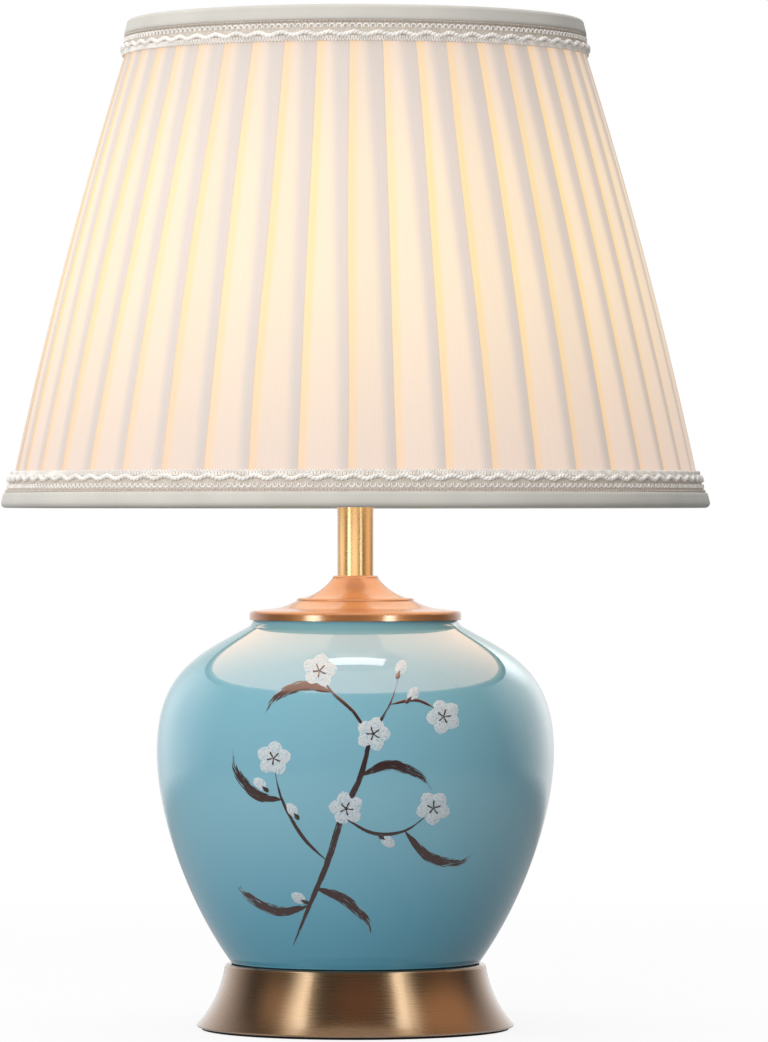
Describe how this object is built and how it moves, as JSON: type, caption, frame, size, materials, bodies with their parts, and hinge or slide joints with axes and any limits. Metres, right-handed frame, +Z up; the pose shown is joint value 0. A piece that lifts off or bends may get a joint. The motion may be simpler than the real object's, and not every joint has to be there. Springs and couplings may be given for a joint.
{
  "type": "table lamp",
  "caption": "Table lamp with a rounded glazed porcelain jar on a flared brass foot, a stepped brass cap and neck, and a tapered pleated cloth shade with braided rims.",
  "frame": {"origin": "centre of the felt pad's underside, on the table", "axes": "+Z up along the lamp's axis, -Y towards the front, +Y towards the cord hole"},
  "size_m": [0.3505, 0.3506, 0.4995],
  "materials": {
    "felt": "needled felt",
    "antique_brass": "brushed, antiqued and lacquered",
    "spun_brass": "spun and satin polished",
    "plated_steel": "zinc plated",
    "gasket": "foam sheet",
    "glaze": "clear gloss glaze over pale blue",
    "bush": "moulded",
    "holder_moulding": "moulded phenolic",
    "holder_porcelain": "unglazed porcelain",
    "contact_brass": "stamped",
    "solder": "solder dome",
    "black_glass": "glass bead insulator",
    "bulb_metal": "nickel plated",
    "opal_glass": "opal",
    "shade_wire": "white lacquer",
    "liner": "translucent sheet",
    "pleat_cloth": "fine plain weave",
    "binding_tape": "plain tape",
    "braid": "scroll gimp"
  },
  "bodies": {
    "stand": {"base_pad": "felt", "base_shell": "antique_brass", "foot_washer": "plated_steel", "star_washer": "plated_steel", "foot_nut": "plated_steel", "threaded_rod": "plated_steel", "seat_gasket": "gasket", "vase": "glaze", "mouth_gasket": "gasket", "vase_cap": "spun_brass", "neck_tube": "spun_brass", "tube_bushes": "bush", "holder_cup": "holder_moulding", "holder_grub_screw": "plated_steel", "holder_core": "holder_porcelain", "terminal_screws": "contact_brass", "contact_leaf": "contact_brass", "screw_shell": "contact_brass", "holder_shell": "holder_moulding"},
    "shade": {"fitter_ring": "shade_wire", "fitter_arms": "shade_wire", "bottom_ring": "shade_wire", "top_ring": "shade_wire", "shade_lining": "liner", "pleated_cloth": "pleat_cloth", "bottom_binding": "binding_tape", "top_binding": "binding_tape", "bottom_braid": "braid", "top_braid": "braid"},
    "shade_ring": {"shade_ring": "holder_moulding"},
    "bulb_tip": {"bulb_tip": "solder"},
    "bulb": {"bulb_insulator": "black_glass", "bulb_cap": "bulb_metal", "bulb_glass": "opal_glass"}
  },
  "joints": [
    {"name": "shade_turn", "type": "hinge", "parent": "stand", "child": "shade", "pos_m": [0, 0, 0.3065], "axis": [0, 0, 1], "continuous": true},
    {"name": "ring_lift", "type": "slide", "parent": "stand", "child": "shade_ring", "axis": [0, 0, 1], "range_m": [0, 0.018]},
    {"name": "bulb_lift", "type": "slide", "parent": "stand", "child": "bulb_tip", "axis": [0, 0, 1], "range_m": [0, 0.0255]},
    {"name": "bulb_turn", "type": "hinge", "parent": "bulb_tip", "child": "bulb", "pos_m": [0, 0, 0.31], "axis": [0, 0, 1], "range_deg": [0, 2520]}
  ],
  "couplings": [
    {"joint": "bulb_lift", "follows": "bulb_turn", "m_per_rad": 0.00057757}
  ]
}
